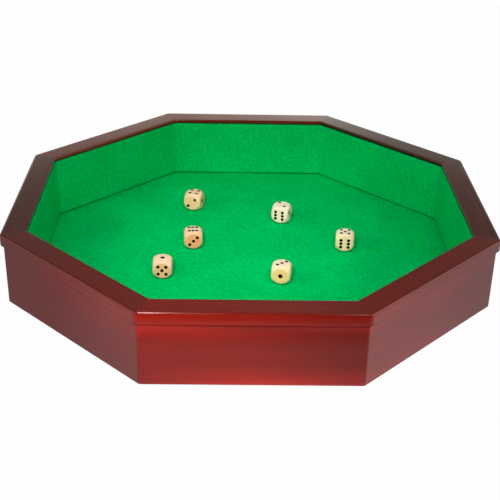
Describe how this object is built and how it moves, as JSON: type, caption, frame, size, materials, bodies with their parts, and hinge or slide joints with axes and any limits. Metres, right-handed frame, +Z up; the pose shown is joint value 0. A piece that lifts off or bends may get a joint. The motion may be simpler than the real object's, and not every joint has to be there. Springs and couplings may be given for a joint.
{
  "type": "dice tray",
  "caption": "Octagonal wooden tray with mitred walls, an overhanging rim and a felt-lined floor and sides, holding loose wooden dice.",
  "frame": {"origin": "centre of the underside, where the tray rests on the table", "axes": "+Z up, -Y towards the front side that faces the viewer, +X to the right"},
  "size_m": [0.298, 0.298, 0.046],
  "materials": {
    "mahogany_stain": "lacquered semi-gloss, mahogany stain",
    "green_felt": "matte felt",
    "card": "matte",
    "plywood": "matte, unstained",
    "tongue_wood": "matte, unstained",
    "brad_steel": "bright",
    "dice_wood": "smooth, pale natural wood",
    "pip_paint": "matte black paint"
  },
  "bodies": {
    "tray": {"base_panel": "plywood", "floor_felt": "green_felt", "wall_front": "mahogany_stain", "wall_front_right": "mahogany_stain", "wall_right": "mahogany_stain", "wall_back_right": "mahogany_stain", "wall_back": "mahogany_stain", "wall_back_left": "mahogany_stain", "wall_left": "mahogany_stain", "wall_front_left": "mahogany_stain", "rim_front": "mahogany_stain", "rim_front_right": "mahogany_stain", "rim_right": "mahogany_stain", "rim_back_right": "mahogany_stain", "rim_back": "mahogany_stain", "rim_back_left": "mahogany_stain", "rim_left": "mahogany_stain", "rim_front_left": "mahogany_stain", "lining_card_front": "card", "lining_card_front_right": "card", "lining_card_right": "card", "lining_card_back_right": "card", "lining_card_back": "card", "lining_card_back_left": "card", "lining_card_left": "card", "lining_card_front_left": "card", "wall_felt_front": "green_felt", "wall_felt_front_right": "green_felt", "wall_felt_right": "green_felt", "wall_felt_back_right": "green_felt", "wall_felt_back": "green_felt", "wall_felt_back_left": "green_felt", "wall_felt_left": "green_felt", "wall_felt_front_left": "green_felt", "mitre_tongues": "tongue_wood", "base_brads": "brad_steel"},
    "die_1": {"die_1": "dice_wood", "die_1_pips": "pip_paint"},
    "die_2": {"die_2": "dice_wood", "die_2_pips": "pip_paint"},
    "die_3": {"die_3": "dice_wood", "die_3_pips": "pip_paint"},
    "die_4": {"die_4": "dice_wood", "die_4_pips": "pip_paint"},
    "die_5": {"die_5": "dice_wood", "die_5_pips": "pip_paint"},
    "die_6": {"die_6": "dice_wood", "die_6_pips": "pip_paint"}
  },
  "joints": [
    {"name": "die_1_lift", "type": "slide", "parent": "tray", "child": "die_1", "axis": [0, 0, 1], "range_m": [0, 0.06]},
    {"name": "die_2_lift", "type": "slide", "parent": "tray", "child": "die_2", "axis": [0, 0, 1], "range_m": [0, 0.06]},
    {"name": "die_3_lift", "type": "slide", "parent": "tray", "child": "die_3", "axis": [0, 0, 1], "range_m": [0, 0.06]},
    {"name": "die_4_lift", "type": "slide", "parent": "tray", "child": "die_4", "axis": [0, 0, 1], "range_m": [0, 0.06]},
    {"name": "die_5_lift", "type": "slide", "parent": "tray", "child": "die_5", "axis": [0, 0, 1], "range_m": [0, 0.06]},
    {"name": "die_6_lift", "type": "slide", "parent": "tray", "child": "die_6", "axis": [0, 0, 1], "range_m": [0, 0.06]}
  ]
}
